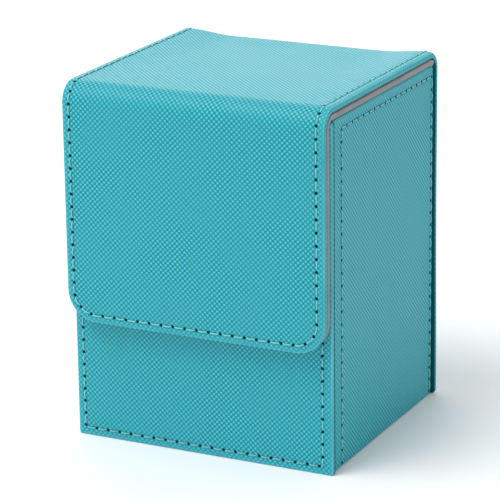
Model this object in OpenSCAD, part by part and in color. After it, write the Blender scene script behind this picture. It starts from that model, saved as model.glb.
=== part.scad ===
// Deck box for trading cards: stitched leather over board, with a lid and a magnetic front flap.
// X runs across the front, Y runs from the flap to the back, Z is up. The origin is under the
// middle of the box, on the surface it stands on. All sizes are in millimetres.
// One long wrapped strip makes the back, the lid and the flap, and it bends at two soft folds.
// A second strip makes both sides and the bottom. The front panel is a separate wrapped board.

/* [Box] */
// Width across the front panel
box_w = 80; // [74:0.5:88]
// Depth from the front panel's face to the back face
box_d = 74; // [68:0.5:84]
// Height to the top of the lid
box_h = 105; // [98:0.5:115]
// How far the sides and the bottom sit inside the edges of the front and back
recess = 0.7; // [0.4:0.1:1.2]
// Outer corner radius where the sides turn into the bottom
base_r = 2.5; // [2:0.1:3]
// Corner radius of the front and back panels
panel_r = 1.5; // [1.2:0.1:2.5]

/* [Leather, boards and linings] */
// Thickness of the leather skin
skin_t = 0.5; // [0.4:0.05:0.6]
// Thickness of the stiffening board inside each wall
board_t = 1.2; // [1.1:0.1:1.6]
// Width of the leather turned in behind a board
turn_in = 8; // [5:0.5:11]
// Thickness of the microfibre lining in the front, sides and bottom
lining_t = 0.8; // [0.6:0.1:1]
// Thickness of the thicker lining of the back, lid and flap, which wraps a card in the last two
thick_t = 1.6; // [1.4:0.1:2]
// Thickness of the card inside the lid and flap linings
card_t = 0.8; // [0.6:0.1:1]
// How far the lid and flap linings stop short of the leather edge
lining_inset = 0.5; // [0.3:0.1:1]
// Thickness of the microfibre that wraps the card's edges
edge_t = 0.4; // [0.3:0.1:0.6]
// How far the inner linings stop below the top of the walls
rim = 1.5; // [1:0.1:3]

/* [Lid and flap] */
// Outer radius of the soft fold behind the lid
rear_r = 5.5; // [5:0.1:6.5]
// Outer radius of the soft fold in front of the lid
front_r = 6; // [5.5:0.1:6.5]
// Inside radius of the lining in both folds
fold_in_r = 0.8; // [0.5:0.05:1]
// Height of the flap's lower edge
flap_z = 36; // [28:0.5:50]
// Radius of the flap's lower corners
flap_r = 8; // [5:0.5:14]
// Gap between the flap's lining and the front panel
flap_gap = 0.5; // [0.4:0.05:1]
// Gap between the lid's lining and the top of the walls
lid_gap = 0.5; // [0.4:0.05:1]

/* [Stitching] */
// Distance from one stitch to the next
stitch_pitch = 3.7; // [3:0.1:5]
// Length of thread that shows in one stitch
stitch_l = 2.6; // [2:0.1:2.8]
// Thread thickness
thread_d = 0.5; // [0.3:0.05:0.7]
// Distance of a seam from the edge of its panel
seam_in = 2.4; // [2:0.1:4]
// Distance of the front seam of a side from the front panel
side_front_in = 5.5; // [3:0.1:8]
// Distance of the rear seam of a side from the back panel
side_rear_in = 1.3; // [1:0.1:4]
// Distance of the top seam of a side from its top edge
side_top_in = 3.2; // [2:0.1:5]

/* [Magnets] */
// Diameter of the closing magnets
magnet_d = 10; // [6:0.5:12]
// Thickness of the closing magnets
magnet_t = 1; // [0.6:0.1:1.05]
// Distance of each magnet from the middle
magnet_x = 18; // [10:0.5:26]
// Height of the magnets above the flap's lower edge
magnet_up = 14; // [10:0.5:20]

/* [Hidden] */
$fn = 48;
cut = 1;  // how far a cutting solid passes the face it cuts

teal = [0.22, 0.66, 0.71];
deep_teal = [0.12, 0.44, 0.48];
microfibre = [0.57, 0.54, 0.56];
greyboard = [0.62, 0.58, 0.52];
nickel = [0.75, 0.76, 0.78];

band_t = board_t + 2 * skin_t;  // a board with leather on both sides
flap_stack = band_t + thick_t + flap_gap;  // how far the flap stands in front of the front panel
flap_y = -(box_d + flap_stack) / 2;  // outer face of the flap
front_y = flap_y + flap_stack;  // outer face of the front panel
back_y = (box_d + flap_stack) / 2;  // outer face of the back
wall_top = box_h - band_t - thick_t - lid_gap;

gusset_w = box_w - 2 * recess;
gusset_y0 = front_y + band_t;
gusset_y1 = back_y - band_t;
gusset_l = gusset_y1 - gusset_y0;
floor_z = recess + band_t + lining_t;
inner_w = gusset_w - 2 * (band_t + lining_t);
lining_w = box_w - 2 * lining_inset;
window_w = box_w - 2 * turn_in;  // between the leather turned in on both sides of a panel
lining_top = wall_top - rim;

rear_z = box_h - rear_r;  // the back ends and the rear fold starts here
rear_y = back_y - rear_r;  // the rear fold ends and the lid starts here
front_fold_y = flap_y + front_r;  // the lid ends and the front fold starts here
front_fold_z = box_h - front_r;  // the front fold ends and the flap starts here
lid_l = rear_y - front_fold_y;
lid_mid = (rear_y + front_fold_y) / 2;
flap_h = front_fold_z - flap_z;

// Outline of a panel that stands on y = 0, with both lower corners rounded.
module outline(w, h, r) {
    translate([-w / 2, r]) square([w, h - r]);
    translate([r - w / 2, 0]) square([w - 2 * r, r + 0.1]);
    for (s = [-1, 1]) translate([s * (w / 2 - r), r]) circle(r);
}

// Upright slab with its front face at y, its lower edge at z and its lower corners rounded.
module slab(w, h, r, y, t, z)
    translate([0, y + t, z]) rotate([90, 0, 0]) linear_extrude(t) outline(w, h, r);

// Plain block, centred on X.
module block(w, y0, y1, z0, z1)
    translate([-w / 2, y0, z0]) cube([w, y1 - y0, z1 - z0]);

// Extrudes a drawing of the X-Z plane along the depth of the sides and bottom.
module along_gusset()
    translate([0, gusset_y1, 0]) rotate([90, 0, 0]) linear_extrude(gusset_l) children();

// Section of the sides and bottom, open at the top: a layer that starts a distance in from
// the outer face.
module gusset_section(inset, t, top) {
    w = gusset_w - 2 * inset;
    difference() {
        translate([0, recess + inset]) outline(w, top - recess - inset, base_r - inset);
        translate([t - w / 2, recess + inset + t]) square([w - 2 * t, top]);
    }
}

module gusset_board_section() gusset_section(skin_t, board_t, wall_top - skin_t);

// Quarter bend of a layer from +Y to +Z about the origin, running along X. Its outside is round
// and its inside has its own smaller radius.
module bend(w, r_out, t, r_in) {
    in = r_out - t;
    rotate([90, 0, 90]) linear_extrude(w, center = true) difference() {
        intersection() {
            circle(r_out);
            square(r_out);
        }
        translate([-cut, -cut]) square([in + cut, in - r_in + cut]);
        translate([-cut, -cut]) square([in - r_in + cut, in + cut]);
        translate([in - r_in, in - r_in]) circle(r_in);
    }
}

module at_rear_fold() translate([0, rear_y, rear_z]) children();
module at_front_fold() translate([0, front_fold_y, front_fold_z]) mirror([0, 1, 0]) children();

// Half-round stitch along X, lying on z = 0.
module stitch()
    rotate([90, 0, 90]) rotate_extrude(angle = 180)
        translate([0, -stitch_l / 2]) square([thread_d / 2, stitch_l]);

// Stitches along X, spread evenly over a length about the origin.
module stitch_row(len) {
    n = round(len / stitch_pitch);
    for (i = [0:n - 1]) translate([(i + 0.5 - n / 2) * len / n, 0, 0]) stitch();
}

// Two upright rows, one near each side of a panel, from v0 to v1.
module stitch_sides(w, v0, v1)
    for (s = [-1, 1])
        translate([s * (w / 2 - seam_in), (v0 + v1) / 2, 0]) rotate([0, 0, 90])
            stitch_row(v1 - v0);

// Stitches over both ends of a soft fold.
module stitch_bend(r) {
    n = round(r * PI / 2 / stitch_pitch);
    for (s = [-1, 1], i = [0:n - 1])
        translate([s * (box_w / 2 - seam_in), 0, 0]) rotate([(i + 0.5) * 90 / n, 0, 0])
            translate([0, r, 0]) rotate([0, 90, 90]) stitch();
}

module on_front(y) translate([0, y, 0]) rotate([90, 0, 0]) children();
module on_back() translate([0, back_y, 0]) rotate([90, 0, 180]) children();
module on_right() translate([gusset_w / 2, 0, 0]) rotate([90, 0, 90]) children();

// Both magnets, with the face that points to -Y at y.
module magnets(y)
    for (s = [-1, 1])
        translate([s * magnet_x, y + magnet_t, flap_z + magnet_up]) rotate([90, 0, 0])
            cylinder(h = magnet_t, d = magnet_d);

// ---- front panel ----

module front_board() color(greyboard) difference() {
    slab(box_w - 2 * skin_t, wall_top - 2 * skin_t, panel_r - skin_t, front_y + skin_t, board_t,
        skin_t);
    magnets(front_y + skin_t);
}

module front_cover() color(teal) difference() {
    slab(box_w, wall_top, panel_r, front_y, band_t, 0);
    slab(box_w - 2 * skin_t, wall_top - 2 * skin_t, panel_r - skin_t, front_y + skin_t, board_t,
        skin_t);
    block(window_w, front_y + skin_t + board_t, front_y + band_t + cut, turn_in,
        wall_top - turn_in);
}

module front_lining() color(microfibre) {
    block(inner_w, gusset_y0, gusset_y0 + lining_t, floor_z, lining_top);
    block(window_w, gusset_y0 - skin_t, gusset_y0, turn_in, wall_top - turn_in);
}

module front_stitching() color(deep_teal) on_front(front_y) {
    stitch_sides(box_w, seam_in, wall_top - seam_in);
    for (v = [seam_in, wall_top - seam_in])
        translate([0, v, 0]) stitch_row(box_w - 2 * seam_in);
}

module front_magnets() color(nickel) magnets(front_y + skin_t);

// ---- sides and bottom ----

module left_board() color(greyboard) along_gusset() intersection() {
    gusset_board_section();
    translate([skin_t - gusset_w / 2, 0]) square([board_t, wall_top]);
}

module right_board() mirror([1, 0, 0]) left_board();

module bottom_board() color(greyboard) along_gusset() difference() {
    gusset_board_section();
    for (s = [-1, 1])
        translate([s * (gusset_w / 2 - skin_t - board_t / 2), wall_top / 2])
            square([board_t, 2 * wall_top], center = true);
}

module gusset_cover() color(teal) along_gusset() difference() {
    gusset_section(0, band_t, wall_top);
    gusset_board_section();
    translate([skin_t + board_t - gusset_w / 2, recess + skin_t + board_t])
        square([gusset_w - 2 * (skin_t + board_t), wall_top - turn_in - recess - skin_t - board_t]);
}

module left_lining() color(microfibre) along_gusset() {
    translate([-inner_w / 2 - lining_t, floor_z - lining_t]) square([lining_t, lining_top - floor_z
        + lining_t]);
    translate([-inner_w / 2 - lining_t - skin_t, floor_z - lining_t])
        square([skin_t, wall_top - turn_in - floor_z + lining_t]);
}

module right_lining() mirror([1, 0, 0]) left_lining();

module bottom_lining() color(microfibre)
    block(inner_w, gusset_y0, gusset_y1, floor_z - lining_t - skin_t, floor_z);

module right_stitching() color(deep_teal) on_right() {
    seam_top = wall_top - side_top_in;
    for (y = [gusset_y0 + side_front_in, gusset_y1 - side_rear_in])
        translate([y, (seam_top + base_r) / 2, 0]) rotate([0, 0, 90])
            stitch_row(seam_top - base_r);
    translate([(gusset_y0 + side_front_in + gusset_y1 - side_rear_in) / 2, seam_top, 0])
        stitch_row(gusset_l - side_front_in - side_rear_in);
}

module left_stitching() mirror([1, 0, 0]) right_stitching();

// ---- back panel ----

module back_board() color(greyboard)
    slab(box_w - 2 * skin_t, rear_z - skin_t, panel_r - skin_t, back_y - skin_t - board_t, board_t,
        skin_t);

module back_cover() color(teal) difference() {
    slab(box_w, rear_z, panel_r, back_y - band_t, band_t, 0);
    slab(box_w - 2 * skin_t, rear_z, panel_r - skin_t, back_y - skin_t - board_t, board_t, skin_t);
    block(window_w, gusset_y1 - cut, gusset_y1 + skin_t, turn_in, rear_z + cut);
}

module back_lining() color(microfibre) {
    block(inner_w, gusset_y1 - thick_t, gusset_y1, floor_z, rear_z);
    block(window_w, gusset_y1, gusset_y1 + skin_t, turn_in, rear_z);
}

module back_stitching() color(deep_teal) on_back() {
    stitch_sides(box_w, seam_in, rear_z);
    translate([0, seam_in, 0]) stitch_row(box_w - 2 * seam_in);
}

// ---- rear fold, between the back and the lid ----

module hinge_fold_cover() color(teal)
    at_rear_fold() bend(box_w, rear_r, band_t, rear_r - band_t);

module hinge_fold_lining() color(microfibre) difference() {
    at_rear_fold() bend(lining_w, rear_r - band_t, thick_t, fold_in_r);
    for (s = [-1, 1])
        translate([s * (inner_w + lining_w) / 2, 0, 0])
            block(lining_w, rear_y - cut, back_y, rear_z - cut, wall_top + lid_gap);
}

module hinge_fold_stitching() color(deep_teal) at_rear_fold() stitch_bend(rear_r);

// ---- lid ----

module lid_board() color(greyboard)
    block(box_w - 2 * skin_t, front_fold_y, rear_y, box_h - skin_t - board_t, box_h - skin_t);

module lid_cover() color(teal) difference() {
    block(box_w, front_fold_y, rear_y, box_h - band_t, box_h);
    block(box_w - 2 * skin_t, front_fold_y - cut, rear_y + cut, box_h - skin_t - board_t,
        box_h - skin_t);
    block(window_w, front_fold_y - cut, rear_y + cut, box_h - band_t - cut,
        box_h - band_t + skin_t);
}

module lid_lining_card() color(greyboard) {
    block(lining_w - 2 * edge_t, front_fold_y, rear_y, box_h - band_t - card_t, box_h - band_t);
    block(window_w, front_fold_y, rear_y, box_h - band_t, box_h - band_t + skin_t);
}

module lid_lining() color(microfibre) difference() {
    block(lining_w, front_fold_y, rear_y, box_h - band_t - thick_t, box_h - band_t);
    block(lining_w - 2 * edge_t, front_fold_y - cut, rear_y + cut, box_h - band_t - card_t,
        box_h - band_t + cut);
}

module lid_stitching() color(deep_teal)
    translate([0, lid_mid, box_h]) stitch_sides(box_w, -lid_l / 2, lid_l / 2);

// ---- front fold, between the lid and the flap ----

module front_fold_cover() color(teal)
    at_front_fold() bend(box_w, front_r, band_t, front_r - band_t);

module front_fold_lining() color(microfibre)
    at_front_fold() bend(lining_w, front_r - band_t, thick_t, fold_in_r);

module front_fold_stitching() color(deep_teal) at_front_fold() stitch_bend(front_r);

// ---- flap ----

module flap_board() color(greyboard) difference() {
    slab(box_w - 2 * skin_t, flap_h - skin_t, flap_r - skin_t, flap_y + skin_t, board_t,
        flap_z + skin_t);
    magnets(flap_y + skin_t + board_t - magnet_t);
}

module flap_cover() color(teal) difference() {
    slab(box_w, flap_h, flap_r, flap_y, band_t, flap_z);
    slab(box_w - 2 * skin_t, flap_h, flap_r - skin_t, flap_y + skin_t, board_t, flap_z + skin_t);
    block(window_w, flap_y + skin_t + board_t, flap_y + band_t + cut, flap_z + turn_in,
        front_fold_z + cut);
}

module flap_lining_card() color(greyboard) {
    slab(lining_w - 2 * edge_t, flap_h - lining_inset - edge_t, flap_r - lining_inset - edge_t,
        flap_y + band_t, card_t, flap_z + lining_inset + edge_t);
    block(window_w, flap_y + band_t - skin_t, flap_y + band_t, flap_z + turn_in, front_fold_z);
}

module flap_lining() color(microfibre) difference() {
    slab(lining_w, flap_h - lining_inset, flap_r - lining_inset, flap_y + band_t, thick_t,
        flap_z + lining_inset);
    translate([0, -cut, 0])
        slab(lining_w - 2 * edge_t, flap_h, flap_r - lining_inset - edge_t, flap_y + band_t,
            card_t + cut, flap_z + lining_inset + edge_t);
}

module flap_stitching() color(deep_teal) on_front(flap_y) {
    turn_r = flap_r - seam_in;
    turns = round(turn_r * PI / 2 / stitch_pitch);
    stitch_sides(box_w, flap_z + flap_r, front_fold_z);
    translate([0, flap_z + seam_in, 0]) stitch_row(box_w - 2 * flap_r);
    for (s = [-1, 1], i = [0:turns - 1])
        translate([s * (box_w / 2 - flap_r), flap_z + flap_r, 0])
            rotate([0, 0, s * (i + 0.5) * 90 / turns]) translate([0, -turn_r, 0]) stitch();
}

module flap_magnets() color(nickel) magnets(flap_y + skin_t + board_t - magnet_t);

front_board();
front_cover();
front_lining();
front_stitching();
front_magnets();
left_board();
right_board();
bottom_board();
gusset_cover();
left_lining();
right_lining();
bottom_lining();
left_stitching();
right_stitching();
back_board();
back_cover();
back_lining();
back_stitching();
hinge_fold_cover();
hinge_fold_lining();
hinge_fold_stitching();
lid_board();
lid_cover();
lid_lining_card();
lid_lining();
lid_stitching();
front_fold_cover();
front_fold_lining();
front_fold_stitching();
flap_board();
flap_cover();
flap_lining_card();
flap_lining();
flap_stitching();
flap_magnets();
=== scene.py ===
import math

import bmesh
import bpy
import numpy as np
from mathutils import Matrix, Vector


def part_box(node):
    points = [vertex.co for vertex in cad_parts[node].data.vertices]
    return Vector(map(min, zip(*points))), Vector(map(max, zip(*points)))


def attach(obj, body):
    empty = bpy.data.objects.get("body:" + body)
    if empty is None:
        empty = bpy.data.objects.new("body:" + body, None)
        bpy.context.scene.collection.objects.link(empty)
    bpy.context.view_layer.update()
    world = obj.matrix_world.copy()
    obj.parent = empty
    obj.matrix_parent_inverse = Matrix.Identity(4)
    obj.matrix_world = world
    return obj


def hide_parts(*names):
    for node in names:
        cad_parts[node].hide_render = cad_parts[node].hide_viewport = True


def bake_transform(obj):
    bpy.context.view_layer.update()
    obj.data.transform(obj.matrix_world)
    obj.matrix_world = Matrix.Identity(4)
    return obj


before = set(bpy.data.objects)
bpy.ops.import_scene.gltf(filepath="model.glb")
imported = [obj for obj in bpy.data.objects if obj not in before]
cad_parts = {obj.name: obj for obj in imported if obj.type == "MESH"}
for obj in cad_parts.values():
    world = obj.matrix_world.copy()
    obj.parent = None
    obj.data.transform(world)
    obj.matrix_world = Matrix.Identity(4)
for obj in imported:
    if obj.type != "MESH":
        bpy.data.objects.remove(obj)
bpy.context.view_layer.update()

print("frame loaded:", len(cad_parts), "nodes")

# A deck box of cross-grain leather over board. Lengths are millimetres until a mesh is made.
# Each layer is drawn flat, as (across, along, depth), and a place function bends it into the box.

millimetre = 0.001
quarterTurn = math.pi / 2


def boxOf(node):
    low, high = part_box(node)
    return np.array(low) / millimetre, np.array(high) / millimetre


frontLow, frontHigh = boxOf("front_cover")
backLow, backHigh = boxOf("back_cover")
lidLow, lidHigh = boxOf("lid_cover")
flapLow, flapHigh = boxOf("flap_cover")
sidesLow, sidesHigh = boxOf("gusset_cover")
liningLow, liningHigh = boxOf("lid_lining")
wall = frontHigh[1] - frontLow[1]  # a board with leather on both sides
skin = wall - (boxOf("lid_board")[1][2] - lidLow[2])  # the leather alone


cameraSettings = {
    "lens": 198.25,
    "location": (333.8, -677.3, 288.1),
    "turn": 26.37,  # degrees round to the right of the front
    "tilt": 17.47,  # degrees down
    "roll": -0.72,
}


def addCamera(settings):
    turn, tilt, roll = (math.radians(settings[name]) for name in ("turn", "tilt", "roll"))
    level = np.array([-math.sin(turn), math.cos(turn), 0])
    right = np.array([math.cos(turn), math.sin(turn), 0])
    ahead = level * math.cos(tilt) - np.array([0, 0, math.sin(tilt)])
    up = np.cross(right, ahead)
    rolledRight = right * math.cos(roll) + up * math.sin(roll)
    rolledUp = up * math.cos(roll) - right * math.sin(roll)
    camera = bpy.data.objects.new("camera", bpy.data.cameras.new("camera"))
    camera.data.lens = settings["lens"]
    camera.data.clip_end = 20
    place = np.eye(4)
    place[:3] = np.column_stack([rolledRight, rolledUp, -ahead, np.array(settings["location"]) * millimetre])
    camera.matrix_world = Matrix(place)
    bpy.context.scene.collection.objects.link(camera)
    bpy.context.scene.camera = camera


studioSettings = {
    "surround": (1.0, 1.0, 1.0),
    "surroundStrength": 0.63,
    "floorSize": 9.0,
    "lights": {
        # name: (metres from the box, degrees round from the front, degrees up, size, watts)
        "keySoftbox": (1.5, -36, 62, 0.9, 12.6),
        "backSoftbox": (1.9, 206, 21, 1.9, 13.0),
    },
}


def addLights(settings):
    world = bpy.data.worlds.new("studio")
    world.use_nodes = True
    surround = world.node_tree.nodes["Background"]
    surround.inputs["Color"].default_value = (*settings["surround"], 1)
    surround.inputs["Strength"].default_value = settings["surroundStrength"]
    bpy.context.scene.world = world
    bpy.context.scene.view_settings.view_transform = "Standard"  # colours as they are on the object
    for name, (distance, turn, rise, size, watts) in settings["lights"].items():
        light = bpy.data.lights.new(name, "AREA")
        light.shape = "DISK"
        light.size = size
        light.energy = watts
        lamp = bpy.data.objects.new(name, light)
        turn, rise = math.radians(turn), math.radians(rise)
        away = Matrix.Rotation(turn, 3, "Z") @ Matrix.Rotation(-rise, 3, "X")
        direction = away @ Vector((0, -1, 0))
        lamp.location = direction * distance
        lamp.rotation_euler = direction.to_track_quat("Z", "Y").to_euler()
        bpy.context.scene.collection.objects.link(lamp)


def linearColour(code):
    # an sRGB hex colour as the linear values that shaders use
    parts = [int(code[i:i + 2], 16) / 255 for i in (1, 3, 5)]
    return (*[p / 12.92 if p <= 0.04045 else ((p + 0.055) / 1.055) ** 2.4 for p in parts], 1)


def setInputs(tree, node, values):
    # values holds, for each input's name or number, a socket to join to it or a value to set
    for key, value in values.items():
        if isinstance(value, bpy.types.NodeSocket):
            tree.links.new(value, node.inputs[key])
        else:
            node.inputs[key].default_value = value


def addNode(tree, kind, values=None, **settings):
    node = tree.nodes.new(kind)
    node.location = (len(tree.nodes) % 8 * 190, -(len(tree.nodes) // 8) * 260)
    for name, value in settings.items():
        setattr(node, name, value)
    setInputs(tree, node, values or {})
    return node


def calculate(tree, operation, *values):
    return addNode(tree, "ShaderNodeMath", dict(enumerate(values)), operation=operation).outputs[0]


def mapValue(tree, value, source=(0, 1), target=(0, 1), **settings):
    return addNode(tree, "ShaderNodeMapRange", {
        "Value": value, "From Min": source[0], "From Max": source[1],
        "To Min": target[0], "To Max": target[1]}, **settings).outputs[0]


def readAttribute(tree, name):
    return addNode(tree, "ShaderNodeAttribute", attribute_name=name).outputs["Fac"]


def addNoise(tree, size, detail=2.0, stretch=1, **values):
    # patches of this size in millimetres, fixed to the object, and longer by the stretch along Z
    place = addNode(tree, "ShaderNodeTexCoord").outputs["Object"]
    if stretch != 1:
        place = addNode(tree, "ShaderNodeMapping", {"Vector": place, "Scale": (1, 1, stretch)}).outputs[0]
    return addNode(tree, "ShaderNodeTexNoise", {
        "Vector": place, "Scale": 1 / (size * millimetre), "Detail": detail, **values}).outputs[0]


def mixColours(tree, amount, first, second):
    # each colour is a hex code or a socket
    pair = [linearColour(colour) if isinstance(colour, str) else colour for colour in (first, second)]
    return addNode(tree, "ShaderNodeMix", {"Factor": amount, 6: pair[0], 7: pair[1]},
                   data_type="RGBA").outputs[2]


def scaleVector(tree, vector, amount):
    return addNode(tree, "ShaderNodeVectorMath", {0: vector, "Scale": amount}, operation="SCALE").outputs[0]


def addBump(tree, height, distance, strength=1.0, **values):
    return addNode(tree, "ShaderNodeBump", {
        "Height": height, "Distance": distance * millimetre, "Strength": strength, **values}).outputs[0]


def newMaterial(name):
    material = bpy.data.materials.new(name)
    material.use_nodes = True
    return material, material.node_tree, material.node_tree.nodes["Principled BSDF"]


leatherSettings = {
    # the leather's teal, painted lighter on the bumps' crests as highlight and darker in the valleys between
    # them as shade
    "crestWithHighlight": "#47CFE0",
    "valleyWithShade": "#108792",
    "toneRange": (-0.2, 0.8),  # the tone runs from the shaded valley colour to the lit crest colour over this part of a bump's height
    "shade": "#05323D",  # inside the needle holes
    "shadeRange": (0.28, 0.5),
    "crease": "#0C4C55",  # painted shade on the back half of an edge, where it meets the next layer
    "creaseShadeReach": 0.5,
    "creaseShadeAmount": 0.95,
    "grainPitch": 1.5,  # from one bump to the next along a row
    "grainHeight": 0.12,
    "pared": (0.6, 2.0),  # the film is pared thin at an edge, and the grain is at full height past this
    "paredGrain": 0.55,
    "unevenGrain": 0.7,  # the grain's height where the roller pressed least
    "patchSize": 14.0,  # cloudy change of tone from the rolling of the film
    "patchTone": (0.955, 1.045),
    # painted shade at the bottom of the stitch groove: the colour is scaled down to this
    "grooveShade": 0.86,
    "poreSize": 0.22,  # coarser than real pores, so that they show
    "poreDepth": 0.012,
    "poreStrength": 0.25,
    "roughness": (0.56, 0.40),  # between the bumps, and on top of them
    "gloss": 0.33,
    # the rims are lighter: edge wear, and a painted highlight along each rounded edge
    "wornAndHighlight": "#86DEE6",
    "wearAndHighlightReach": 0.45,
    "wearAndHighlightAmount": 0.75,
}


def leatherMaterial(s):
    # Polyurethane film pressed with a cross-grain roller: small round bumps in slanting rows, satin where
    # they catch the light and duller between them, and its colour is painted lighter on the bumps and darker
    # between them, as painted highlight and painted shade.
    material, tree, shader = newMaterial("crossGrainPolyurethane")
    grain = addNode(tree, "ShaderNodeAttribute", attribute_name="grain").outputs["Vector"]
    phase = scaleVector(tree, grain, 2 * math.pi / s["grainPitch"])
    split = addNode(tree, "ShaderNodeSeparateXYZ", {0: phase})
    bumps = calculate(tree, "MULTIPLY", *[calculate(tree, "COSINE", split.outputs[i]) for i in (0, 1)])
    height = mapValue(tree, bumps, (-1, 1))
    patches = addNoise(tree, s["patchSize"])
    edge = readAttribute(tree, "edgeDistance")
    pared = mapValue(tree, edge, s["pared"], (s["paredGrain"], 1))
    uneven = mapValue(tree, patches, (0.35, 0.65), (s["unevenGrain"], 1))
    strength = calculate(tree, "MULTIPLY", pared, uneven)

    centred = calculate(tree, "SUBTRACT", mapValue(tree, bumps, s["toneRange"]), 0.5)
    shown = calculate(tree, "MULTIPLY_ADD", centred, strength, 0.5)
    # painted highlight on the crests and painted shade between the bumps, mixed by each bump's height
    colour = mixColours(tree, shown, s["valleyWithShade"], s["crestWithHighlight"])
    colour = scaleVector(tree, colour, mapValue(tree, patches, (0.3, 0.7), s["patchTone"]))
    # edge wear with a painted highlight along the rims, in patches
    rubbedAndLit = mapValue(tree, edge, (0, s["wearAndHighlightReach"]), (s["wearAndHighlightAmount"], 0))
    colour = mixColours(tree, calculate(tree, "MULTIPLY", rubbedAndLit, patches), colour, s["wornAndHighlight"])
    # painted shade along the stitch groove
    pressed = mapValue(tree, readAttribute(tree, "groove"), (0, 1), (1, s["grooveShade"]))
    colour = scaleVector(tree, colour, pressed)
    # painted shade on the back of each rim, in the crease where it meets the next panel
    hidden = mapValue(tree, readAttribute(tree, "crease"), (0, s["creaseShadeReach"]), (0, s["creaseShadeAmount"]))
    colour = mixColours(tree, hidden, colour, s["crease"])
    dark = mapValue(tree, readAttribute(tree, "needleHole"), s["shadeRange"])
    colour = mixColours(tree, dark, colour, s["shade"])

    pores = addBump(tree, addNoise(tree, s["poreSize"], 1.0), s["poreDepth"], s["poreStrength"])
    relief = calculate(tree, "MULTIPLY", height, strength)
    shaded = calculate(tree, "MAXIMUM", dark, hidden)
    setInputs(tree, shader, {
        "Base Color": colour,
        "Roughness": mapValue(tree, height, (0, 1), s["roughness"]),
        "Specular IOR Level": mapValue(tree, shaded, (0, 1), (s["gloss"], 0)),
        "Normal": addBump(tree, relief, s["grainHeight"], Normal=pores)})
    return material


threadSettings = {
    # lighter on the strands' ridges as painted highlight, darker between them as painted shade
    "ridge": "#93E5ED",
    "deep": "#46ACB8",
    "twist": 0.9,  # length of one turn of the strands
    "strands": 3,
    "strandHeight": 0.05,
    "roughness": 0.42,
    "sheen": 0.2,
}


def threadMaterial(s):
    # Bonded polyester, three strands twisted and waxed: a slanting ribbed cord with a low shine, its colour
    # painted lighter on the strands' ridges and darker between them, as highlight and shade.
    material, tree, shader = newMaterial("bondedPolyesterThread")
    along, around = readAttribute(tree, "alongThread"), readAttribute(tree, "roundThread")
    turns = calculate(tree, "MULTIPLY", along, 2 * math.pi / (s["twist"] * millimetre))
    phase = calculate(tree, "MULTIPLY_ADD", around, 2 * math.pi * s["strands"], turns)
    ridge = mapValue(tree, calculate(tree, "SINE", phase), (-1, 1))
    setInputs(tree, shader, {
        "Base Color": mixColours(tree, ridge, s["deep"], s["ridge"]),
        "Roughness": s["roughness"],
        "Sheen Weight": s["sheen"],
        "Normal": addBump(tree, ridge, s["strandHeight"])})
    return material


microfibreSettings = {
    "light": "#A59BA0",
    "dark": "#857B80",
    "edge": "#587E86",  # the cut edge is painted darker and teal: painted shade and painted teal light bounced from the leather
    "edgeShadeAndBounceReach": 1.5,
    "edgeShadeAndBounceAmount": 0.75,
    "napSize": 0.35,  # coarser than real fibres, so that the nap shows
    "napHeight": 0.05,
    "napStrength": 0.6,
    "brushSize": 9.0,  # patches brushed one way or the other
    "roughness": 0.95,
    "sheen": 0.35,
    "sheenRoughness": 0.5,
}


def microfibreMaterial(s):
    # Brushed polyester microfibre: matt, with a short nap that shows lighter and darker patches.
    material, tree, shader = newMaterial("brushedMicrofibre")
    nap = addNoise(tree, s["napSize"], 4.0)
    brushed = addNoise(tree, s["brushSize"], 3.0)
    amount = mapValue(tree, calculate(tree, "ADD", nap, brushed), (0.6, 1.4))
    tone = mixColours(tree, amount, s["dark"], s["light"])
    # painted shade and painted teal bounce light at the lining's cut edge
    shadeAndBounce = mapValue(tree, readAttribute(tree, "edgeDistance"), (0, s["edgeShadeAndBounceReach"]), (s["edgeShadeAndBounceAmount"], 0))
    setInputs(tree, shader, {
        "Base Color": mixColours(tree, shadeAndBounce, tone, s["edge"]),
        "Roughness": s["roughness"],
        "Sheen Weight": s["sheen"],
        "Sheen Roughness": s["sheenRoughness"],
        "Normal": addBump(tree, nap, s["napHeight"], s["napStrength"])})
    return material


boardSettings = {
    "light": "#A79F91",
    "dark": "#7F776A",
    "fleck": "#5C564C",
    "fleckSize": 1.4,
    "fleckAmount": 0.7,
    "fibreSize": 0.5,
    "fibreHeight": 0.05,
    "fibreStrength": 0.5,
    "roughness": 0.92,
}


def boardMaterial(s):
    # Greyboard pressed from waste paper: dull grey-brown with short fibres and darker flecks.
    material, tree, shader = newMaterial("greyBoard")
    fibres = addNoise(tree, s["fibreSize"], 5.0, Distortion=1.2)
    tone = mixColours(tree, fibres, s["dark"], s["light"])
    place = addNode(tree, "ShaderNodeTexCoord").outputs["Object"]
    flecks = addNode(tree, "ShaderNodeTexVoronoi", {
        "Vector": place, "Scale": 1 / (s["fleckSize"] * millimetre)})
    spots = mapValue(tree, flecks.outputs["Distance"], (0.08, 0.16), (s["fleckAmount"], 0))
    setInputs(tree, shader, {
        "Base Color": mixColours(tree, spots, tone, s["fleck"]),
        "Roughness": s["roughness"],
        "Normal": addBump(tree, fibres, s["fibreHeight"], s["fibreStrength"])})
    return material


nickelSettings = {
    "bright": "#C9C6BE",
    "dull": "#A9A69E",
    "scratchSize": 3.5,
    "stretch": 14,
    "roughness": (0.34, 0.18),
}


def nickelMaterial(s):
    # Bright nickel plate, tumbled: a warm silver with fine hairline marks.
    material, tree, shader = newMaterial("tumbledNickelPlate")
    marks = addNoise(tree, s["scratchSize"], stretch=s["stretch"])
    setInputs(tree, shader, {
        "Base Color": mixColours(tree, marks, s["dull"], s["bright"]),
        "Roughness": mapValue(tree, marks, (0, 1), s["roughness"]),
        "Metallic": 1.0})
    return material


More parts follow.
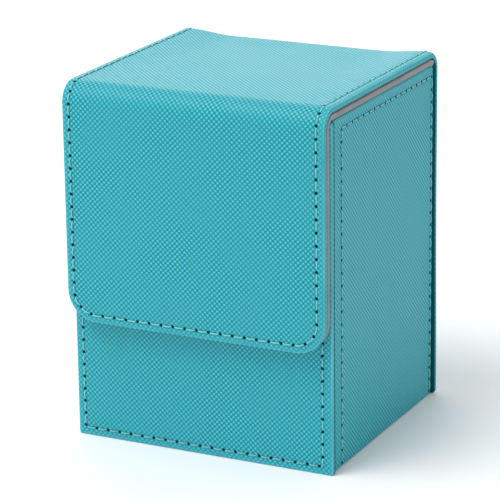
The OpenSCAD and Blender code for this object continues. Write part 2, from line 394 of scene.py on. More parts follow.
def floorMaterial():
    # Matt white paper sweep.
    material, tree, shader = newMaterial("mattPaper")
    setInputs(tree, shader, {
        "Base Color": linearColour("#FDFDFD"), "Roughness": 1.0, "Specular IOR Level": 0.1})
    return material


def newPiece(name, mesh):
    piece = bpy.data.objects.new(name, mesh)
    bpy.context.scene.collection.objects.link(piece)
    return piece


def addFloor(settings):
    reach = settings["floorSize"] / 2
    mesh = bpy.data.meshes.new("floor")
    mesh.from_pydata([(-reach, -reach, 0), (reach, -reach, 0), (reach, reach, 0), (-reach, reach, 0)],
                     [], [(0, 1, 2, 3)])
    mesh.materials.append(floorMaterial())
    newPiece("floor", mesh)


leather = leatherMaterial(leatherSettings)
thread = threadMaterial(threadSettings)
microfibre = microfibreMaterial(microfibreSettings)
board = boardMaterial(boardSettings)
nickel = nickelMaterial(nickelSettings)
print("materials made")

addCamera(cameraSettings)
addLights(studioSettings)
addFloor(studioSettings)


def newTree(name, sockets):
    tree = bpy.data.node_groups.new(name, "GeometryNodeTree")
    tree.interface.new_socket("Geometry", in_out="INPUT", socket_type="NodeSocketGeometry")
    for socket, kind in sockets.items():
        tree.interface.new_socket(socket, in_out="INPUT", socket_type="NodeSocket" + kind)
    tree.interface.new_socket("Geometry", in_out="OUTPUT", socket_type="NodeSocketGeometry")
    return tree, addNode(tree, "NodeGroupInput").outputs


def storeValue(tree, shape, name, value):
    return addNode(tree, "GeometryNodeStoreNamedAttribute", {
        "Geometry": shape, "Name": name, "Value": value}, data_type="FLOAT").outputs[0]


def closeTree(tree, shape, material):
    real = addNode(tree, "GeometryNodeRealizeInstances", {"Geometry": shape})
    painted = addNode(tree, "GeometryNodeSetMaterial", {
        "Geometry": real.outputs[0], "Material": material})
    addNode(tree, "NodeGroupOutput", {"Geometry": painted.outputs[0]})
    return tree


def pressedSeamTree():
    # sinks the leather along a sewn line, more at each needle hole, and lets it ripple a little
    tree, given = newTree("pressedSeam", {
        "Seam": "Object", "Needle Holes": "Object", "Groove Width": "Float", "Groove Depth": "Float",
        "Hole Width": "Float", "Hole Depth": "Float", "Ripple Size": "Float", "Ripple Height": "Float",
        "Material": "Material"})
    amounts = {}
    for target, part, width, attribute in (
            ("EDGES", "Seam", "Groove Width", "groove"),
            ("POINTS", "Needle Holes", "Hole Width", "needleHole")):
        info = addNode(tree, "GeometryNodeObjectInfo", {"Object": given[part]})
        near = addNode(tree, "GeometryNodeProximity", {0: info.outputs["Geometry"]}, target_element=target)
        half = calculate(tree, "MULTIPLY", given[width], 0.5)
        amounts[attribute] = mapValue(tree, near.outputs["Distance"], (0, half), (1, 0),
                                      interpolation_type="SMOOTHSTEP")
    sunk = calculate(tree, "MULTIPLY", amounts["groove"], given["Groove Depth"])
    deep = calculate(tree, "MULTIPLY_ADD", amounts["needleHole"], given["Hole Depth"], sunk)
    finer = calculate(tree, "DIVIDE", 1.0, given["Ripple Size"])
    noise = addNode(tree, "ShaderNodeTexNoise", {"Scale": finer, "Detail": 1.0})
    ripple = mapValue(tree, noise.outputs[0], (0.25, 0.75), (0, given["Ripple Height"]))
    outward = addNode(tree, "GeometryNodeInputNamedAttribute", {"Name": "outward"},
                      data_type="FLOAT_VECTOR").outputs[0]
    shift = scaleVector(tree, outward, calculate(tree, "SUBTRACT", ripple, deep))
    shape = given["Geometry"]
    for attribute, amount in amounts.items():
        shape = storeValue(tree, shape, attribute, amount)
    moved = addNode(tree, "GeometryNodeSetPosition", {"Geometry": shape, "Offset": shift})
    return closeTree(tree, moved.outputs[0], given["Material"])


def sewnThreadTree():
    # makes a round cord along every line of the mesh it is given
    tree, given = newTree("sewnThread", {
        "Thread Thickness": "Float", "Sides": "Int", "Material": "Material"})
    curve = addNode(tree, "GeometryNodeMeshToCurve", {"Mesh": given["Geometry"]})
    parameter = addNode(tree, "GeometryNodeSplineParameter")
    ring = addNode(tree, "GeometryNodeCurvePrimitiveCircle", {
        "Resolution": given["Sides"], "Radius": calculate(tree, "MULTIPLY", given["Thread Thickness"], 0.5)})
    cord = addNode(tree, "GeometryNodeCurveToMesh", {
        "Curve": storeValue(tree, curve.outputs[0], "alongThread", parameter.outputs["Length"]),
        "Profile Curve": storeValue(tree, ring.outputs[0], "roundThread", parameter.outputs["Factor"]),
        "Fill Caps": True})
    smooth = addNode(tree, "GeometryNodeSetShadeSmooth", {"Geometry": cord.outputs[0]})
    return closeTree(tree, smooth.outputs[0], given["Material"])


def runTree(piece, tree, settings):
    # the tree's result becomes the piece's own plain mesh
    modifier = piece.modifiers.new(tree.name, "NODES")
    modifier.node_group = tree
    for socket in tree.interface.items_tree:
        if socket.in_out == "INPUT" and socket.name in settings:
            modifier[socket.identifier] = settings[socket.name]
    bpy.context.view_layer.update()
    graph = bpy.context.evaluated_depsgraph_get()
    mesh = bpy.data.meshes.new_from_object(
        piece.evaluated_get(graph), preserve_all_data_layers=True, depsgraph=graph)
    piece.modifiers.clear()
    piece.data = mesh
    mesh.name = piece.name
    return piece


pressedSeam = pressedSeamTree()
sewnThread = sewnThreadTree()


def bandRows(shape, start, end):
    # places of the rows along the band, close together where a corner turns
    marks = {start, end}
    for corner, first, way in ((shape["corners"][0], start, 1), (shape["corners"][1], end, -1)):
        if corner is not None:
            turned = corner - shape["edge"]
            steps = max(3, math.ceil(turned * quarterTurn / shape["step"] / 2))
            marks |= {first + way * turned * (1 - math.cos(quarterTurn * i / steps))
                      for i in range(1, steps + 1)}
    rows = [start]
    for mark in sorted(marks)[1:]:
        cells = max(1, math.ceil((mark - rows[-1]) / shape["step"] - 0.001))
        rows.extend(np.linspace(rows[-1], mark, cells + 1)[1:])
    return rows


def bandColumns(shape, inner):
    # places across as shares of the half width, and which of them a plain row keeps
    lowZone, highZone = shape["zones"]
    step, coarse = shape["step"], shape["coarse"]
    lowSide = np.linspace(-inner, lowZone - inner, math.ceil(lowZone / step) + 1)
    highSide = np.linspace(inner - highZone, inner, math.ceil(highZone / step) + 1)
    split = math.ceil(coarse / step)
    cells = math.ceil((highSide[0] - lowSide[-1]) / coarse)
    middle = np.linspace(lowSide[-1], highSide[0], cells * split + 1)
    columns = np.concatenate([lowSide[:-1], middle, highSide[1:]]) / inner
    first, last = len(lowSide) - 1, len(lowSide) - 1 + len(middle)
    kept = [*range(first), *range(first, last, split), *range(last, len(columns))]
    return columns, kept


def rimProfile(shape):
    # inset and depth of each ring behind the front face: round the rim, then in behind it
    edge, backEdge, thickness = shape["edge"], shape["backEdge"], shape["thickness"]
    front = [(edge * (1 - math.sin(t)), edge * (1 - math.cos(t)))
             for t in np.linspace(0, quarterTurn, 5)[1:]]
    rear = [(backEdge * (1 - math.cos(t)), thickness - backEdge * (1 - math.sin(t)))
            for t in np.linspace(0, quarterTurn, 4)]
    return front + rear + shape["inside"]


def joinRows(rowIds, isFine, kept):
    # faces between the rows of points, also where a fine row meets a plain one
    faces = []
    for j, (lower, upper) in enumerate(zip(rowIds, rowIds[1:])):
        if isFine[j] == isFine[j + 1]:
            faces.extend((lower[i], lower[i + 1], upper[i + 1], upper[i]) for i in range(len(lower) - 1))
            continue
        for i in range(len(kept) - 1):
            span = range(kept[i], kept[i + 1] + 1)
            bottom = [lower[c] for c in span] if isFine[j] else [lower[i], lower[i + 1]]
            top = [upper[c] for c in span] if isFine[j + 1] else [upper[i], upper[i + 1]]
            faces.append((*bottom, *reversed(top)))
    return faces


def bandMesh(name, points, faces, smoothCount, attributes):
    # the faces after smoothCount are flat cuts, and their edges stay sharp
    mesh = bpy.data.meshes.new(name)
    mesh.from_pydata(points * millimetre, [], faces)
    mesh.polygons.foreach_set("use_smooth", [i < smoothCount for i in range(len(faces))])
    for attribute, values in attributes.items():
        isVector = np.ndim(values) == 2
        layer = mesh.attributes.new(attribute, "FLOAT_VECTOR" if isVector else "FLOAT", "POINT")
        layer.data.foreach_set("vector" if isVector else "value", values.ravel())
    solid = bmesh.new()
    solid.from_mesh(mesh)
    bmesh.ops.remove_doubles(solid, verts=solid.verts, dist=1e-6)
    for face in solid.faces:
        if not face.smooth:
            for side in face.edges:
                side.smooth = False
    if solid.calc_volume(signed=True) < 0:
        bmesh.ops.reverse_faces(solid, faces=solid.faces)
    solid.to_mesh(mesh)
    solid.free()
    return mesh


backPoints = 14  # points across the hidden back of a band that is cut at both ends
outwardStep = 0.01  # how far out of a face a point is tried, to find the way out


def bandShape(sizes, along, corners, width, thickness, **changes):
    # what makeBand needs: rows, corner radii, the sizes' steps, edges and zones, and any changes
    plain = {"fineReach": 0, "crossSeams": (), "crease": 1.0,
             "inside": [(sizes["backEdge"] + 0.2, thickness)]}
    return {**plain, **sizes, "along": along, "corners": corners, "width": width,
            "thickness": thickness, **changes}


def makeBand(name, place, shape):
    # A closed band with rounded edges. corners holds the corner radius at each end, or None where
    # the band is cut at a fold. inside lists (inset, depth) of the rings behind the rim, which
    # make the turned-in edge and the hollow for a board.
    edge, thickness = shape["edge"], shape["thickness"]
    half = shape["width"] / 2
    low, high = shape["along"]
    lowCorner, highCorner = shape["corners"]
    start = low if lowCorner is None else low + edge
    end = high if highCorner is None else high - edge
    inner = half - edge
    rows = bandRows(shape, start, end)
    columns, kept = bandColumns(shape, inner)
    count = len(rows)

    def rowEnd(at):
        # half width of a row, and the way that the rim faces at its end
        for corner, into, way in ((lowCorner, at - start, -1), (highCorner, end - at, 1)):
            if corner is not None and into < corner - edge - 1e-9:
                turn = math.acos(1 - into / (corner - edge))
                return inner - (corner - edge) * (1 - math.sin(turn)), math.sin(turn), way * math.cos(turn)
        return inner, 1.0, 0.0

    # the front face, row by row
    across, along, rim, rowIds, isFine = [], [], [], [], []
    ends = [rowEnd(at) for at in rows]
    for at, (halfRow, _, _) in zip(rows, ends):
        fine = any(abs(at - seam) < shape["fineReach"] for seam in shape["crossSeams"])
        shares = columns if fine else columns[kept]
        rowIds.append(list(range(len(across), len(across) + len(shares))))
        isFine.append(fine)
        across.extend(halfRow * shares)
        along.extend([at] * len(shares))
        toEnds = min(at - start if lowCorner is not None else half,
                     end - at if highCorner is not None else half)
        rim.extend(np.minimum(halfRow * (1 - abs(shares)), toEnds) + edge * quarterTurn / 2)
    frontCount = len(across)
    depth = [0.0] * frontCount
    grainAcross, grainAlong = list(across), list(along)
    faces = joinRows(rowIds, isFine, kept)

    # the front face's outline: point, its place, and the way that the rim faces there
    right = [(rowIds[j][-1], ends[j][0], rows[j], ends[j][1], ends[j][2]) for j in range(count)]
    left = [(rowIds[j][0], -ends[j][0], rows[j], -ends[j][1], ends[j][2]) for j in reversed(range(count))]
    top = [(i, across[i], end, 0, 1) for i in reversed(rowIds[-1][1:-1])] if highCorner is not None else []
    bottom = [(i, across[i], start, 0, -1) for i in rowIds[0][1:-1]] if lowCorner is not None else []
    chain = right + top + left + bottom
    links = [(i, i + 1) for i in range(len(chain) - 1)]
    if highCorner is None:
        links.remove((count - 1, count))
    if lowCorner is not None:
        links.append((len(chain) - 1, 0))

    # the rings that follow the outline round the rim
    profile = rimProfile(shape)
    rings = [[item[0] for item in chain]]
    last, travelled = (edge, 0), 0
    for inset, deep in profile:
        travelled += math.hypot(inset - last[0], deep - last[1])
        last = (inset, deep)
        rings.append(list(range(len(across), len(across) + len(chain))))
        ringAlong = []
        for _, u, s, sideways, lengthways in chain:
            outS = s + lengthways * (edge - inset)
            if lowCorner is not None:
                outS = max(outS, low + inset)
            if highCorner is not None:
                outS = min(outS, high - inset)
            across.append(min(max(u + sideways * (edge - inset), inset - half), half - inset))
            ringAlong.append(outS)
            grainAcross.append(u + sideways * travelled)
            grainAlong.append(s + lengthways * travelled)
        along.extend(ringAlong)
        depth.extend([deep] * len(chain))
        rim.extend([abs(travelled - edge * quarterTurn / 2)] * len(chain))
    for ring, nextRing in zip(rings, rings[1:]):
        faces.extend((ring[b], ring[a], nextRing[a], nextRing[b]) for a, b in links)

    # the faces that close the back, one strip for each row
    closing, (inset, deep) = rings[-1], profile[-1]
    lastLeft = len(right) + len(top) + count - 1
    crossing = [[closing[j]] for j in range(count)]
    if lowCorner is None and highCorner is None:
        # points across the back, so that it sinks with the front
        for j in range(count):
            for share in np.linspace(1, -1, backPoints)[1:-1]:
                crossing[j].append(len(across))
                across.append(across[closing[j]] * share)
                along.append(ringAlong[j])
                depth.append(deep)
                grainAcross.append(across[-1])
                grainAlong.append(ringAlong[j])
                rim.append(rim[closing[j]])
    for j in range(count):
        crossing[j].append(closing[lastLeft - j])
    first, final = 0, count - 1
    if lowCorner is not None:
        first = max(j for j in range(count) if ringAlong[j] < low + inset + 1e-6)
    if highCorner is not None:
        final = min(j for j in range(count) if ringAlong[j] > high - inset - 1e-6)
    for j in range(first, final):
        here, beyond = crossing[j], crossing[j + 1]
        if len(here) > 2:
            faces.extend((beyond[k], here[k], here[k + 1], beyond[k + 1]) for k in range(len(here) - 1))
            continue
        strip = [beyond[0], here[0]]
        if j == first and bottom:
            strip += reversed(closing[lastLeft + 1:])
        strip += [here[1], beyond[1]]
        if j + 1 == final and top:
            strip += reversed(closing[count:count + len(top)])
        faces.append(strip)
    smoothCount = len(faces)
    if lowCorner is None:
        faces.append([*reversed(rowIds[0]), *[ring[lastLeft] for ring in rings[1:]],
                      *reversed(crossing[0][1:-1]), *[ring[0] for ring in reversed(rings[1:])]])
    if highCorner is None:
        faces.append([*rowIds[-1], *[ring[count - 1] for ring in rings[1:]], *crossing[-1][1:-1],
                      *[ring[lastLeft - count + 1] for ring in reversed(rings[1:])]])

    across, along, depth = np.array(across), np.array(along), np.array(depth)
    points = place(across, along, depth)
    outward = (place(across, along, depth - outwardStep) - points) / outwardStep
    outward[frontCount:] = 0
    mesh = bandMesh(name, points, faces, smoothCount, {
        "grain": np.column_stack([grainAcross, grainAlong, np.zeros(len(across))]),
        "outward": outward,
        "edgeDistance": np.array(rim),
        # how far into the back of the rim the painted crease shade reaches
        "crease": np.clip(1 - (thickness - depth) / shape["crease"], 0, 1)})
    return newPiece(name, mesh)


rearRadius = lidHigh[2] - backHigh[2]
frontRadius = lidHigh[2] - flapHigh[2]
rearFoldStart = backHigh[2] - backLow[2]
lidStart = rearFoldStart + rearRadius * quarterTurn
lidLength = lidHigh[1] - lidLow[1]
frontFoldStart = lidStart + lidLength
flapStart = frontFoldStart + frontRadius * quarterTurn
stripEnd = flapStart + flapHigh[2] - flapLow[2]
stripWidth = backHigh[0] - backLow[0]

handmadeSettings = {
    "flapCorner": 9.0,
    "skew": -0.35,  # the flap hangs this far to one side
    "sag": 1.2,  # the lid sinks this far behind
    "sagReach": 38.0,  # out to here on both sides of the middle
    "sagRise": 14.0,
    "footSkew": 0.4,  # the back's lower edge stands this far to one side
    "footReach": 70.0,
}


def ease(amount):
    amount = np.clip(amount, 0, 1)
    return amount * amount * (3 - 2 * amount)


def stripPlace(across, along, depth):
    # up the back, round the rear fold, over the lid, round the front fold and down the flap
    over = ease((along - rearFoldStart) / (lidStart - rearFoldStart))
    over = over * (1 - ease((along - lidStart) / lidLength))
    s = handmadeSettings
    depth = depth + s["sag"] * over * ease((s["sagReach"] - np.abs(across)) / s["sagRise"])
    rear = np.clip((along - rearFoldStart) / rearRadius, 0, quarterTurn)
    front = np.clip((along - frontFoldStart) / frontRadius, 0, quarterTurn)
    lidRun = np.clip(along - lidStart, 0, lidLength)
    x = across + s["skew"] * ease((along - lidStart) / lidLength)
    x = x + s["footSkew"] * ease(1 - along / s["footReach"])
    y = backHigh[1] - rearRadius * (1 - np.cos(rear)) - lidRun - frontRadius * np.sin(front)
    z = (backLow[2] + np.minimum(along, rearFoldStart) + rearRadius * np.sin(rear)
         - frontRadius * (1 - np.cos(front)) - np.maximum(along - flapStart, 0))
    turned = rear + front
    return np.column_stack([x, y - depth * np.cos(turned), z - depth * np.sin(turned)])


sideSettings = {
    "edge": 0.6,  # where a side meets the front and back panels
    "corner": 1.3,
    "baseRadius": 0.7,  # the leather is pressed this tight round the bottom boards
    "drop": 0.6,  # and its bottom bulges this far down, almost to the floor
    # painted shade at the back of a side's edges reaches this far
    "crease": 1.7,
}
sidesBottom = sidesLow[2] - sideSettings["drop"]
sideHeight = sidesHigh[2] - sidesBottom
baseRadius = sideSettings["baseRadius"]
uprightRun = sideHeight - baseRadius
baseRun = sidesHigh[0] - sidesLow[0] - 2 * baseRadius
baseStart = uprightRun + baseRadius * quarterTurn
baseEnd = baseStart + baseRun
sidesRun = 2 * baseStart + baseRun


def sidesPlace(across, along, depth):
    # down the left side, under the bottom and up the right side
    leftTurn = np.clip((along - uprightRun) / baseRadius, 0, quarterTurn)
    rightTurn = np.clip((along - baseEnd) / baseRadius, 0, quarterTurn)
    x = (sidesLow[0] + baseRadius * (1 - np.cos(leftTurn)) + np.clip(along - baseStart, 0, baseRun)
         + baseRadius * np.sin(rightTurn))
    z = (sidesHigh[2] - np.minimum(along, uprightRun) - baseRadius * np.sin(leftTurn)
         + baseRadius * (1 - np.cos(rightTurn)) + np.maximum(along - baseEnd - baseRadius * quarterTurn, 0))
    turned = math.pi + leftTurn + rightTurn
    y = across + (sidesLow[1] + sidesHigh[1]) / 2
    # the inner faces meet in a square corner
    x = np.clip(x - depth * np.cos(turned), sidesLow[0] + depth, sidesHigh[0] - depth)
    return np.column_stack([x, y, np.maximum(z - depth * np.sin(turned), sidesBottom + depth)])


def flatPlace(corner, acrossWay, alongWay, inward):
    def place(across, along, depth):
        return (np.array(corner) + np.outer(across, acrossWay) + np.outer(along, alongWay)
                + np.outer(depth, inward))
    return place


frontSettings = {
    "edge": 0.65,
    "corner": 0.7,
    "extraLeft": 0.35,  # the front panel is cut this much wider than the strip, on its left
    "seamRight": 3.1,  # and its seam stands further in on the right
    "backEdge": 0.7,
    # painted shade at the back of the front panel's edges reaches this far
    "crease": 1.55,
}
frontPlace = flatPlace((-frontSettings["extraLeft"] / 2, frontLow[1], frontLow[2]),
                       (1, 0, 0), (0, 0, 1), (0, 1, 0))


seamSettings = {
    "pitch": 3.7,
    "inset": 2.4,
    "lineStep": 0.2,  # between the points of the line that presses the groove
    "corner": 0.5,
    "cornerPoints": 9,
    "grooveWidth": 1.4,
    "grooveDepth": 0.13,
    "holeWidth": 1.7,
    "holeDepth": 0.18,
    "rippleSize": 16.0,
    "rippleHeight": 0.10,
    "thread": 0.45,
    "threadSides": 8,
    "threadPoints": 11,
    "threadReach": 1.36,  # from the middle of a stitch to where it ends inside the hole
    "threadRise": 0.12,
    "threadSink": 0.42,
    "threadBow": 0.09,
    "threadWobble": 0.035,
    "sideFront": 5.5,  # a side's seam stands this far from the front panel
    "sideRear": 1.3,
    "sideTop": 3.2,
    "sideFoot": 0.4,
}


def seamLine(corners, radii, closed):
    # close points along a sewn line with rounded corners, and the places of its needle holes
    points = []
    for i, (corner, radius) in enumerate(zip(corners, radii)):
        corner = np.array(corner, float)
        if not closed and i in (0, len(corners) - 1):
            points.append(corner)
            continue
        before = np.array(corners[i - 1], float) - corner
        after = np.array(corners[(i + 1) % len(corners)], float) - corner
        before, after = before / np.linalg.norm(before), after / np.linalg.norm(after)
        centre = corner + (before + after) * radius
        for turn in np.linspace(0, quarterTurn, seamSettings["cornerPoints"]):
            points.append(centre - radius * (after * math.cos(turn) + before * math.sin(turn)))
    if closed:
        points.append(points[0])
    points = np.array(points)
    run = np.concatenate([[0], np.cumsum(np.linalg.norm(np.diff(points, axis=0), axis=1))])
    stitches = round(run[-1] / seamSettings["pitch"])

    def pointAt(distance):
        distance = np.mod(distance, run[-1]) if closed else distance
        return np.column_stack([np.interp(distance, run, points[:, i]) for i in (0, 1)])

    close = pointAt(np.arange(0, run[-1], seamSettings["lineStep"]))
    holes = np.arange(stitches + (0 if closed else 1)) * run[-1] / stitches
    return {"pointAt": pointAt, "holes": holes, "close": close, "gap": run[-1] / stitches,
            "closed": closed, "stitches": stitches}


def linesObject(name, points, edges):
    mesh = bpy.data.meshes.new(name)
    mesh.from_pydata(points * millimetre, edges, [])
    return newPiece(name, mesh)


def pressSeams(piece, place, lines):
    # sinks the piece's leather along its seams
    seamPoints, edges, holePoints = [], [], []
    for line in lines:
        count = len(line["close"])
        first = len(np.concatenate(seamPoints)) if seamPoints else 0
        edges += [(first + i, first + i + 1) for i in range(count - 1)]
        if line["closed"]:
            edges.append((first + count - 1, first))
        seamPoints.append(place(*line["close"].T, np.zeros(count)))
        holes = line["pointAt"](line["holes"])
        holePoints.append(place(*holes.T, np.zeros(len(holes))))
    seam = linesObject("seamGuide", np.concatenate(seamPoints), edges)
    holes = linesObject("holeGuide", np.concatenate(holePoints), [])
    sizes = {name: seamSettings[key] * millimetre for name, key in (
        ("Groove Width", "grooveWidth"), ("Groove Depth", "grooveDepth"), ("Hole Width", "holeWidth"),
        ("Hole Depth", "holeDepth"), ("Ripple Size", "rippleSize"), ("Ripple Height", "rippleHeight"))}
    runTree(piece, pressedSeam, {"Seam": seam, "Needle Holes": holes, "Material": leather, **sizes})
    for guide in (seam, holes):
        bpy.data.objects.remove(guide)
    return piece


def sewStitches(name, place, line, between):
    # one short cord from each hole to the next, for the stitches whose middle is between two rows
    s = seamSettings
    points, edges = [], []
    spread = np.linspace(-1, 1, s["threadPoints"])
    random = np.random.default_rng(7)
    for i in range(line["stitches"]):
        wobble = random.normal(0, s["threadWobble"])
        middle = (i + 0.5) * line["gap"]
        if not between[0] <= line["pointAt"](np.array([middle]))[0, 1] < between[1]:
            continue
        at = middle + spread * s["threadReach"] * line["gap"] / s["pitch"]
        flat = line["pointAt"](at)
        ahead = line["pointAt"](at + 0.05) - line["pointAt"](at - 0.05)
        ahead = ahead / np.linalg.norm(ahead, axis=1)[:, None]
        side = np.column_stack([ahead[:, 1], -ahead[:, 0]])
        flat = flat + side * (s["threadBow"] * (1 - spread ** 2) + wobble)[:, None]
        deep = (s["threadSink"] + s["threadRise"]) * np.abs(spread) ** 4 - s["threadRise"]
        first = sum(map(len, points))
        edges += [(first + k, first + k + 1) for k in range(len(spread) - 1)]
        points.append(place(*flat.T, deep))
    piece = linesObject(name, np.concatenate(points), edges)
    return runTree(piece, sewnThread, {
        "Thread Thickness": s["thread"] * millimetre, "Sides": s["threadSides"], "Material": thread})


seamIn = seamSettings["inset"]
halfStrip = stripWidth / 2
flapCorner = handmadeSettings["flapCorner"]
seamCorner = seamSettings["corner"]


def loopSeam(left, right, low, high, topCorner=seamCorner):
    return seamLine([(left, low), (right, low), (right, high), (left, high)],
                    [seamCorner, seamCorner, topCorner, topCorner], True)


stripSeam = loopSeam(seamIn - halfStrip, halfStrip - seamIn, seamIn, stripEnd - seamIn, flapCorner - seamIn)
frontHeight = frontHigh[2] - frontLow[2]
halfFront = halfStrip + frontSettings["extraLeft"] / 2
seamRight = halfFront - frontSettings["seamRight"]
frontSeam = loopSeam(seamIn - halfFront, seamRight, seamIn, frontHeight - seamIn)
halfSide = (sidesHigh[1] - sidesLow[1]) / 2
sideFront = seamSettings["sideFront"] - halfSide
sideRear = halfSide - seamSettings["sideRear"]
sideTop = seamSettings["sideTop"]
sideFoot = uprightRun - seamSettings["sideFoot"]
leftSeam, rightSeam = (
    seamLine([(sideRear, foot), (sideRear, top), (sideFront, top), (sideFront, foot)],
             [0, seamCorner, seamCorner, 0], False)
    for foot, top in ((sideFoot, sideTop), (sidesRun - sideFoot, sidesRun - sideTop)))


leatherSizes = {
    "step": 0.31,  # a twelfth of a stitch
    "coarse": 1.24,
    "edge": 0.95,
    "backEdge": 0.8,
    "crease": 0.65,  # painted shade darkens the back of an edge over this much, where it meets the next layer
    "zones": (3.1, 3.1),  # the fine columns beside both long edges
    "fineReach": 1.6,  # and the fine rows on both sides of a seam across
    "turnIn": 8.0,
    "cutPast": 2.0,  # a fold's leather runs this far past the start of its bend
    "blendPast": 0.4,  # and the points given for its bend stand this far before the bend starts and after it ends
    "panelCorner": 1.0,
}
cutPast = leatherSizes["cutPast"]
foldCuts = {
    "rear": (rearFoldStart - cutPast, lidStart + cutPast),
    "front": (frontFoldStart - cutPast, flapStart + cutPast),
}


def wrapRings(turnIn):
    # the leather turns in behind the board by this much, and the board lies inside it
    return [(turnIn, wall), (turnIn, wall - skin), (skin, wall - skin), (skin, skin)]


def leatherShape(along, corners, hollow=True, width=stripWidth, **changes):
    inside = wrapRings(leatherSizes["turnIn"]) if hollow else [(leatherSizes["backEdge"] + 0.3, wall)]
    return bandShape(leatherSizes, along, corners, width, wall, inside=inside, **changes)


def finish(piece, nodes, body):
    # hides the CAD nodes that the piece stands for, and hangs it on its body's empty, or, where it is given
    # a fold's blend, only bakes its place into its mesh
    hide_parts(*nodes)
    if isinstance(body, str):
        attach(piece, body)
    else:
        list(body)
        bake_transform(piece)
    return piece


def foldBlend(fold, deep):
    # the two bodies that a fold joins, and the points where its bend starts and ends
    past = leatherSizes["blendPast"]
    bodies, spots = {
        "rear": (("box", "lid"), (rearFoldStart - past, lidStart + past)),
        "front": (("lid", "flap"), (frontFoldStart - past, flapStart + past)),
    }[fold]
    ends = stripPlace(np.array([halfStrip] * 2), np.array(spots), np.array([deep] * 2)) * millimetre
    return (*bodies, tuple(ends[0]), tuple(ends[1]))


panelCorner = leatherSizes["panelCorner"]
rearCuts, frontCuts = foldCuts["rear"], foldCuts["front"]
rearBlend, frontBlend = foldBlend("rear", wall / 2), foldBlend("front", wall / 2)
stripParts = [
    # name, rows, corners, hollow, seams across it, start of its CAD nodes' names, body
    ("back", (0, rearCuts[0]), (panelCorner, None), True, (seamIn,), "back", "box"),
    ("rear_fold", rearCuts, (None, None), False, (), "hinge_fold", rearBlend),
    ("lid", (rearCuts[1], frontCuts[0]), (None, None), True, (), "lid", "lid"),
    ("front_fold", frontCuts, (None, None), False, (), "front_fold", frontBlend),
    ("flap", (frontCuts[1], stripEnd), (None, flapCorner), True, (stripEnd - seamIn,), "flap", "flap"),
]
for name, along, corners, hollow, crossSeams, node, body in stripParts:
    shape = leatherShape(along, corners, hollow, crossSeams=crossSeams)
    piece = makeBand("leather_" + name, stripPlace, shape)
    finish(pressSeams(piece, stripPlace, [stripSeam]), [node + "_cover"], body)
piece = makeBand("leather_front", frontPlace, leatherShape(
    (0, frontHeight), (frontSettings["corner"], frontSettings["corner"]),
    crossSeams=(seamIn, frontHeight - seamIn), width=2 * halfFront, zones=(3.1, 3.9),
    edge=frontSettings["edge"], backEdge=frontSettings["backEdge"], crease=frontSettings["crease"]))
finish(pressSeams(piece, frontPlace, [frontSeam]), ["front_cover"], "box")
sideCorner = sideSettings["corner"]
piece = makeBand("leather_sides", sidesPlace, leatherShape(
    (0, sidesRun), (sideCorner, sideCorner), crossSeams=(sideTop, sidesRun - sideTop),
    width=2 * halfSide, edge=sideSettings["edge"], crease=sideSettings["crease"], zones=(6.2, 2.2)))
finish(pressSeams(piece, sidesPlace, [leftSeam, rightSeam]), ["gusset_cover"], "box")
print("leather made")


stitching = [
    # name, place, seam, rows, start of the CAD node's name, body
    *[(name, stripPlace, stripSeam, rows, node, body) for name, rows, _, _, _, node, body in stripParts],
    ("front", frontPlace, frontSeam, (0, frontHeight), "front", "box"),
    ("left", sidesPlace, leftSeam, (0, sidesRun), "left", "box"),
    ("right", sidesPlace, rightSeam, (0, sidesRun), "right", "box"),
]
for name, place, line, rows, node, body in stitching:
    piece = sewStitches("stitching_" + name, place, line, rows)
    finish(piece, [node + "_stitching"], body)
print("stitching made")


cardLow, cardHigh = boxOf("lid_lining_card")
cardWidth = cardHigh[0] - cardLow[0]
liningSettings = {
    "edge": 0.55,
    "backEdge": 0.1,
    "gluedEdge": 0.55,  # rounder where the lid's and flap's linings meet their leather
    "nap": 0.4,  # the pile stands this far out from the glued sheet's edge
    "pile": 0.25,  # and this far in from its face
    "step": 1.1,
    "foldStep": 0.5,
    "coarse": 3.3,
    "zones": (2.2, 2.2),
    "thinEdge": 0.35,
    "corner": 0.9,
    "behindFace": 1.0,  # the points given for the front fold's lining lie this far behind its face
    "tuck": (31, 45),  # degrees of the rear fold over which its lining widens
}
liningWidth = liningHigh[0] - liningLow[0] + 2 * liningSettings["nap"]
liningThickness = liningHigh[2] - liningLow[2] + liningSettings["pile"]
flapLiningCorner = flapCorner - (stripWidth - liningWidth) / 2


def faceDown(place, deepest):
    # the same place function, with the drawn face on the side that looks into the box
    def turned(across, along, depth):
        return place(across, along, deepest - depth)
    return turned


def liningShape(along, corners, width, thickness, **changes):
    edge = min(liningSettings["edge"], thickness - 0.2)
    return bandShape(liningSettings, along, corners, width, thickness, **{"edge": edge, **changes})


def addLining(name, place, shape, node, body):
    piece = makeBand("lining_" + name, place, shape)
    piece.data.materials.append(microfibre)
    return finish(piece, [node], body)


innerLow, innerHigh = boxOf("bottom_lining")
innerWidth = innerHigh[0] - innerLow[0]
tuckStart, tuckEnd = (rearFoldStart + rearRadius * math.radians(a) for a in liningSettings["tuck"])


def rearLiningPlace(across, along, depth):
    # the rear lining is narrow between the sides and widens where it comes out above them
    share = ease((along - tuckStart) / (tuckEnd - tuckStart))
    width = innerWidth + (liningWidth - innerWidth) * share
    return stripPlace(across * width / liningWidth, along, depth)


def frontLiningPlace(across, along, depth):
    # the pile of the front lining is pressed flat in the middle of its fold
    share = (along - frontCuts[0]) / (frontCuts[1] - frontCuts[0])
    pressed = 1 - liningSettings["pile"] / liningThickness * np.sin(math.pi * np.clip(share, 0, 1))
    return stripPlace(across, along, wall + (depth - wall) * pressed)


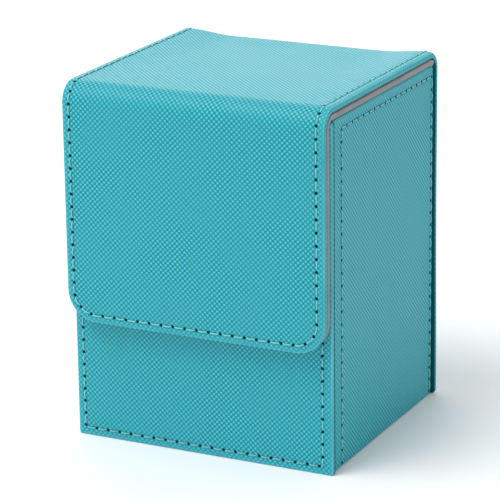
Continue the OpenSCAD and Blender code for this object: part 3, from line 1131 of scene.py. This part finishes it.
deepest = wall + liningThickness
wrapSide = (liningWidth - cardWidth) / 2
wrapFront = liningThickness - (lidLow[2] - cardLow[2])
wrapInside = [(wrapSide, liningThickness), (wrapSide, wrapFront)]
liningFoot = innerHigh[2] - backLow[2]
flapLiningEnd = stripEnd - (stripWidth - liningWidth) / 2
wrapped = {"inside": wrapInside, "backEdge": liningSettings["gluedEdge"]}
folded = {"step": liningSettings["foldStep"]}
linings = [
    # name, place, rows, corners, width, changes, CAD node, body
    ("back", stripPlace, (liningFoot, rearCuts[0]), (1.0, None), innerWidth, {}, "back_lining", "box"),
    ("rear_fold", rearLiningPlace, rearCuts, (None, None), liningWidth, folded,
     "hinge_fold_lining", foldBlend("rear", wall + liningThickness / 2)),
    ("lid", stripPlace, (rearCuts[1], frontCuts[0]), (None, None), liningWidth, wrapped,
     "lid_lining", "lid"),
    ("front_fold", frontLiningPlace, frontCuts, (None, None), liningWidth, folded,
     "front_fold_lining", foldBlend("front", deepest + liningSettings["behindFace"])),
    ("flap", stripPlace, (frontCuts[1], flapLiningEnd), (None, flapLiningCorner), liningWidth, wrapped,
     "flap_lining", "flap"),
]
for name, place, along, corners, width, changes, node, body in linings:
    shape = liningShape(along, corners, width, liningThickness, **changes)
    addLining(name, faceDown(place, deepest), shape, node, body)

frontLiningHigh = boxOf("front_lining")[1]
thinLining = frontLiningHigh[1] - sidesLow[1]
innerHeight = frontLiningHigh[2] - innerHigh[2]


def innerSide(way):
    corner = (way * innerWidth / 2, (sidesLow[1] + sidesHigh[1]) / 2, innerHigh[2])
    return flatPlace(corner, (0, 1, 0), (0, 0, 1), (way, 0, 0)), 2 * halfSide, innerHeight


innerPlaces = {
    "front": (flatPlace((0, sidesLow[1] + thinLining, innerHigh[2]), (1, 0, 0), (0, 0, 1), (0, -1, 0)),
              innerWidth, innerHeight),
    "left": innerSide(-1),
    "right": innerSide(1),
    "bottom": (flatPlace((0, sidesLow[1], innerHigh[2]), (1, 0, 0), (0, 1, 0), (0, 0, -1)),
               innerWidth, 2 * halfSide),
}
for name, (place, width, length) in innerPlaces.items():
    corners = [liningSettings["corner"]] * 2
    shape = liningShape((0, length), corners, width, thinLining, edge=liningSettings["thinEdge"])
    addLining(name, place, shape, name + "_lining", "box")
print("linings made")

boardSizes = {"edge": 0.12, "backEdge": 0.12, "step": 1.6, "coarse": 6.0, "zones": (1.6, 1.6)}
boardThickness = wall - 2 * skin
cardDepth = lidLow[2] - cardLow[2]
stiffeners = {
    # name: (rows, corners, width, depth of its outer face, thickness, CAD node, body)
    "board_lid": ((rearCuts[1], frontCuts[0]), (None, None), stripWidth - 2 * skin, skin, boardThickness,
                  "lid_board", "lid"),
    "board_flap": ((frontCuts[1], stripEnd - skin), (None, flapCorner - skin), stripWidth - 2 * skin, skin,
                   boardThickness, "flap_board", "flap"),
    "card_lid": ((rearCuts[1], frontCuts[0]), (None, None), cardWidth, wall, cardDepth,
                 "lid_lining_card", "lid"),
    "card_flap": ((frontCuts[1], flapLiningEnd - wrapSide), (None, flapLiningCorner - wrapSide),
                  cardWidth, wall, cardDepth, "flap_lining_card", "flap"),
}
for name, (along, corners, width, outer, thickness, node, body) in stiffeners.items():
    shape = bandShape(boardSizes, along, corners, width, thickness)
    piece = makeBand(name, faceDown(stripPlace, outer + thickness), shape)
    piece.data.materials.append(board)
    finish(piece, [node], body)

cadBoards = ("front_board", "back_board", "left_board", "right_board", "bottom_board")
for node in (*cadBoards, "front_magnets", "flap_magnets"):
    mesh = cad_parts[node].data
    mesh.materials.clear()
    mesh.materials.append(board if node in cadBoards else nickel)
print("boards and magnets made")
